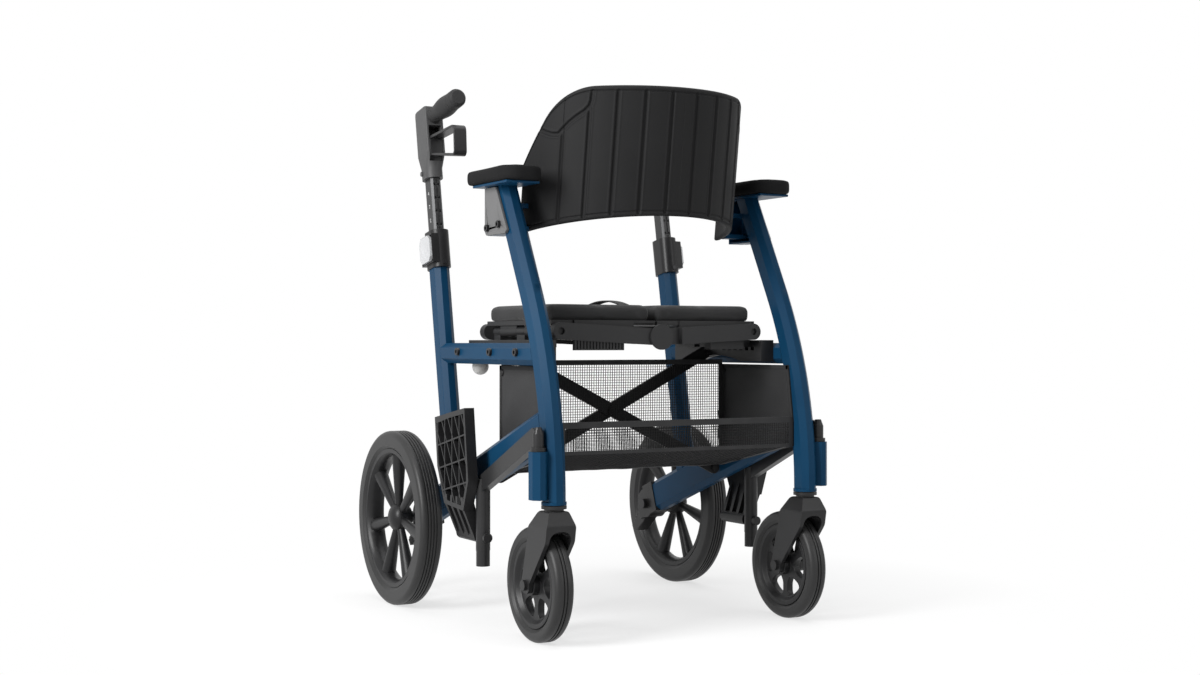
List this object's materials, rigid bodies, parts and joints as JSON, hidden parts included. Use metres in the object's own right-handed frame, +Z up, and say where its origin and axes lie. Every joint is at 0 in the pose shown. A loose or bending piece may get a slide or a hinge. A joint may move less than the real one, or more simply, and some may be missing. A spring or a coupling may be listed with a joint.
{
  "type": "rollator transport chair",
  "caption": "Folding rollator and transport chair: wheeled side frames joined by a hinged seat, with height-adjustable brake handles, basket, backrest and swing-away footrests.",
  "frame": {"origin": "on the floor under the middle of the chair's box", "axes": "+Z up, -Y towards the casters, +X to the right seen from the caster side"},
  "size_m": [0.6344, 0.7078, 0.9241],
  "materials": {
    "frame_paint": "satin metallic blue paint",
    "dark_plastic": "fine moulded texture",
    "black_plastic": "fine moulded texture",
    "grey_plastic": "satin",
    "pad_foam": "soft moulded skin",
    "basket_fabric": "coated woven polyester",
    "bolt_steel": "black oxide",
    "tyre_rubber": "matt rubber",
    "stem_metal": "anodised",
    "grip_rubber": "soft matt",
    "button_silver": "silver satin",
    "black_metal": "black powder coat",
    "seat_fabric": "fine woven cover",
    "backrest_foam": "moulded foam skin",
    "basket_mesh": "open mesh",
    "strap_web": "woven webbing"
  },
  "bodies": {
    "left_frame": {"left_front_leg": "frame_paint", "left_rear_upright": "frame_paint", "left_lower_tube": "frame_paint", "left_side_rail": "frame_paint", "left_axle_cap": "dark_plastic", "left_collar": "black_plastic", "left_arm_bracket": "frame_paint", "left_arm_cover": "grey_plastic", "left_armrest_pad": "pad_foam", "left_hinge_base": "black_plastic", "left_basket_panel": "basket_fabric", "left_back_side": "backrest_foam", "left_fasteners": "bolt_steel", "basket_net": "basket_mesh"},
    "left_rear_wheel": {"left_rear_tyre": "tyre_rubber", "left_rear_rim": "dark_plastic"},
    "left_caster": {"left_caster_fork": "dark_plastic"},
    "left_caster_wheel": {"left_caster_tyre": "tyre_rubber", "left_caster_rim": "dark_plastic"},
    "left_handle": {"left_handle_stem": "stem_metal", "left_handle_body": "dark_plastic", "left_grip": "grip_rubber"},
    "left_lever": {"left_brake_lever": "dark_plastic"},
    "left_button": {"left_height_button": "button_silver"},
    "left_footrest": {"left_footrest_hanger": "black_metal"},
    "left_footplate_body": {"left_footplate": "black_plastic"},
    "left_seat": {"left_seat_pan": "black_plastic", "left_seat_cushion": "seat_fabric", "seat_strap": "strap_web"},
    "left_cross": {"left_cross_bar": "black_metal"},
    "left_back": {"left_backrest": "backrest_foam"},
    "right_frame": {"right_front_leg": "frame_paint", "right_rear_upright": "frame_paint", "right_lower_tube": "frame_paint", "right_side_rail": "frame_paint", "right_axle_cap": "dark_plastic", "right_collar": "black_plastic", "right_arm_bracket": "frame_paint", "right_arm_cover": "grey_plastic", "right_armrest_pad": "pad_foam", "right_hinge_base": "black_plastic", "right_basket_panel": "basket_fabric", "right_back_side": "backrest_foam", "right_fasteners": "bolt_steel"},
    "right_rear_wheel": {"right_rear_tyre": "tyre_rubber", "right_rear_rim": "dark_plastic"},
    "right_caster": {"right_caster_fork": "dark_plastic"},
    "right_caster_wheel": {"right_caster_tyre": "tyre_rubber", "right_caster_rim": "dark_plastic"},
    "right_handle": {"right_handle_stem": "stem_metal", "right_handle_body": "dark_plastic", "right_grip": "grip_rubber"},
    "right_lever": {"right_brake_lever": "dark_plastic"},
    "right_button": {"right_height_button": "button_silver"},
    "right_footrest": {"right_footrest_hanger": "black_metal"},
    "right_footplate_body": {"right_footplate": "black_plastic"},
    "right_seat": {"right_seat_pan": "black_plastic", "right_seat_cushion": "seat_fabric"},
    "right_cross": {"right_cross_bar": "black_metal"},
    "right_back": {"right_backrest": "backrest_foam"}
  },
  "joints": [
    {"name": "left_rear_spin", "type": "hinge", "parent": "left_frame", "child": "left_rear_wheel", "pos_m": [-0.2962, 0.19645, 0.1575], "axis": [1, 0, 0], "continuous": true},
    {"name": "left_caster_swivel", "type": "hinge", "parent": "left_frame", "child": "left_caster", "pos_m": [-0.241, -0.31205, 0.2], "axis": [0, 0, 1], "continuous": true},
    {"name": "left_caster_spin", "type": "hinge", "parent": "left_caster", "child": "left_caster_wheel", "pos_m": [-0.241, -0.26205, 0.0919], "axis": [1, 0, 0], "continuous": true},
    {"name": "left_handle_slide", "type": "slide", "parent": "left_frame", "child": "left_handle", "axis": [0, 0.1822, 0.9833], "range_m": [-0.05, 0.1]},
    {"name": "left_brake", "type": "hinge", "parent": "left_handle", "child": "left_lever", "pos_m": [-0.241, 0.17238, 0.82423], "axis": [-1, 0, 0], "range_deg": [-15, 14], "stiffness_Nm_per_rad": 8},
    {"name": "left_button_push", "type": "slide", "parent": "left_frame", "child": "left_button", "axis": [1, 0, 0], "range_m": [0, 0.003], "stiffness_N_per_m": 1000, "springref_m": -0.005},
    {"name": "left_footrest_swing", "type": "hinge", "parent": "left_frame", "child": "left_footrest", "pos_m": [-0.2685, -0.31205, 0.3], "axis": [0, 0, 1], "range_deg": [0, 180]},
    {"name": "left_footplate_fold", "type": "hinge", "parent": "left_footrest", "child": "left_footplate_body", "pos_m": [-0.2685, -0.10805, 0.152], "axis": [0, 1, 0], "range_deg": [-90, 0]},
    {"name": "right_rear_spin", "type": "hinge", "parent": "right_frame", "child": "right_rear_wheel", "pos_m": [0.2962, 0.19645, 0.1575], "axis": [1, 0, 0], "continuous": true},
    {"name": "right_caster_swivel", "type": "hinge", "parent": "right_frame", "child": "right_caster", "pos_m": [0.241, -0.31205, 0.2], "axis": [0, 0, 1], "continuous": true},
    {"name": "right_caster_spin", "type": "hinge", "parent": "right_caster", "child": "right_caster_wheel", "pos_m": [0.241, -0.26205, 0.0919], "axis": [1, 0, 0], "continuous": true},
    {"name": "right_handle_slide", "type": "slide", "parent": "right_frame", "child": "right_handle", "axis": [0, 0.1822, 0.9833], "range_m": [-0.05, 0.1]},
    {"name": "right_brake", "type": "hinge", "parent": "right_handle", "child": "right_lever", "pos_m": [0.241, 0.17238, 0.82423], "axis": [-1, 0, 0], "range_deg": [-15, 14], "stiffness_Nm_per_rad": 8},
    {"name": "right_button_push", "type": "slide", "parent": "right_frame", "child": "right_button", "axis": [-1, 0, 0], "range_m": [0, 0.003], "stiffness_N_per_m": 1000, "springref_m": -0.005},
    {"name": "right_footrest_swing", "type": "hinge", "parent": "right_frame", "child": "right_footrest", "pos_m": [0.2685, -0.31205, 0.3], "axis": [0, 0, 1], "range_deg": [-180, 0]},
    {"name": "right_footplate_fold", "type": "hinge", "parent": "right_footrest", "child": "right_footplate_body", "pos_m": [0.2685, -0.10805, 0.152], "axis": [0, 1, 0], "range_deg": [0, 90]},
    {"name": "fold", "type": "hinge", "parent": "left_frame", "child": "left_seat", "pos_m": [-0.188, 0, 0.4945], "axis": [0, -1, 0], "range_deg": [0, 66], "deforming": ["basket_net"]},
    {"name": "fold_middle", "type": "hinge", "parent": "left_seat", "child": "right_seat", "pos_m": [0, 0, 0.485], "axis": [0, -1, 0], "range_deg": [-133, 1]},
    {"name": "fold_right", "type": "hinge", "parent": "right_seat", "child": "right_frame", "pos_m": [0.188, 0, 0.4945], "axis": [0, -1, 0], "range_deg": [-1, 67]},
    {"name": "left_cross_turn", "type": "hinge", "parent": "left_frame", "child": "left_cross", "pos_m": [-0.204, -0.06305, 0.46], "axis": [0, 1, 0], "range_deg": [-1, 46]},
    {"name": "right_cross_turn", "type": "hinge", "parent": "right_frame", "child": "right_cross", "pos_m": [0.204, -0.06305, 0.46], "axis": [0, -1, 0], "range_deg": [-1, 46]},
    {"name": "left_back_turn", "type": "hinge", "parent": "left_frame", "child": "left_back", "pos_m": [-0.17314, -0.19293, 0.69197], "axis": [0, 0.1392, -0.9903], "range_deg": [-1, 44]},
    {"name": "right_back_turn", "type": "hinge", "parent": "left_back", "child": "right_back", "pos_m": [0, -0.27618, 0.68027], "axis": [0, 0.1392, -0.9903], "range_deg": [-88, 1]}
  ],
  "couplings": [
    {"joint": "fold_middle", "follows": "fold", "ratio": -2},
    {"joint": "fold_right", "follows": "fold", "ratio": 1},
    {"joint": "left_cross_turn", "follows": "fold", "ratio": 0.5573},
    {"joint": "right_cross_turn", "follows": "fold", "ratio": 0.5573},
    {"joint": "left_back_turn", "follows": "fold", "ratio": 0.6467},
    {"joint": "right_back_turn", "follows": "fold", "ratio": -1.2934}
  ]
}
